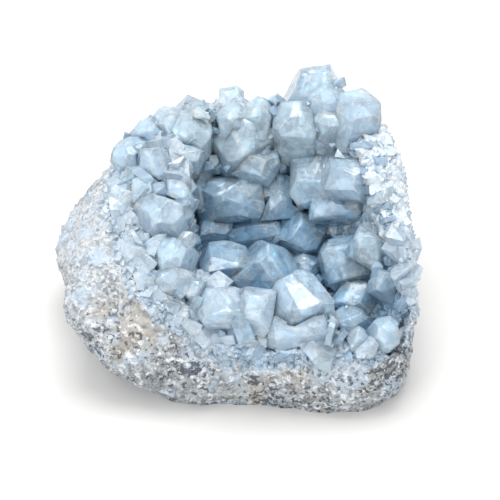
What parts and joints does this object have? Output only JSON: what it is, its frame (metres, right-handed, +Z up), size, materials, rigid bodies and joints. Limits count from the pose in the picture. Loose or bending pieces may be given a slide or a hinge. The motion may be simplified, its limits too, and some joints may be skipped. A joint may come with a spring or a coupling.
{
  "type": "celestite geode",
  "caption": "Cut-open geode with a grey-white granular rind, a pale drusy crust and a hollow full of clear pale blue crystals, standing on a flat base.",
  "frame": {"origin": "on the flat base that the geode rests on, under the middle of the whole stone", "axes": "+Z up, out of the base; +X to the right and along the longest side; +Y to the back, away from the side that the hollow opens to"},
  "size_m": [0.1238, 0.1051, 0.075],
  "materials": {
    "host_rock": "rough granular host rock, grey white with beige and dark grains",
    "druse": "finely crystalline, whitish blue and glittering",
    "celestite": "glassy, see-through pale blue with milky veils"
  },
  "bodies": {
    "root": {"matrix": "host_rock", "druse_crust": "druse", "crystal_window": "celestite", "crystal_right_gem": "celestite", "crystal_centre_gem": "celestite", "crystal_front_block": "celestite", "crystal_peak": "celestite", "crystal_peak_shoulder": "celestite", "crystal_flat_top": "celestite", "crystal_blue_pyramid": "celestite", "crystal_broad_face": "celestite", "crystal_lens": "celestite", "crystal_round_end": "celestite", "crystal_square": "celestite", "crystal_deep_blue": "celestite", "crystal_fan": "celestite", "crystal_slab": "celestite", "crystal_grey": "celestite", "crystal_step": "celestite", "crystal_pale_wall": "celestite", "crystal_left_cap": "celestite", "crystal_streaked": "celestite", "crystal_back_round": "celestite", "crystal_back_blunt": "celestite", "crystal_back_pale": "celestite", "crystal_narrow": "celestite", "crystal_left_band": "celestite", "crystal_lit_drop": "celestite", "crystal_lit_slab": "celestite", "crystal_dark_facets": "celestite", "crystal_left_edge": "celestite", "crystal_left_low": "celestite", "crystal_left_deep": "celestite", "crystal_deep_wedge": "celestite", "crystal_deep_back": "celestite", "crystal_right_back": "celestite", "crystal_right_low": "celestite", "crystal_right_edge": "celestite", "crystal_floor": "celestite", "crystal_low_corner": "celestite", "crystal_front_left": "celestite", "crystal_front_middle": "celestite", "crystal_front_low": "celestite", "crystal_front_small": "celestite", "crystal_front_corner": "celestite", "crystal_left_lump": "celestite", "crystal_left_round": "celestite", "crystal_left_upper": "celestite", "crystal_left_saddle": "celestite", "crystal_right_lump": "celestite", "crystal_right_bead": "celestite"}
  },
  "joints": []
}
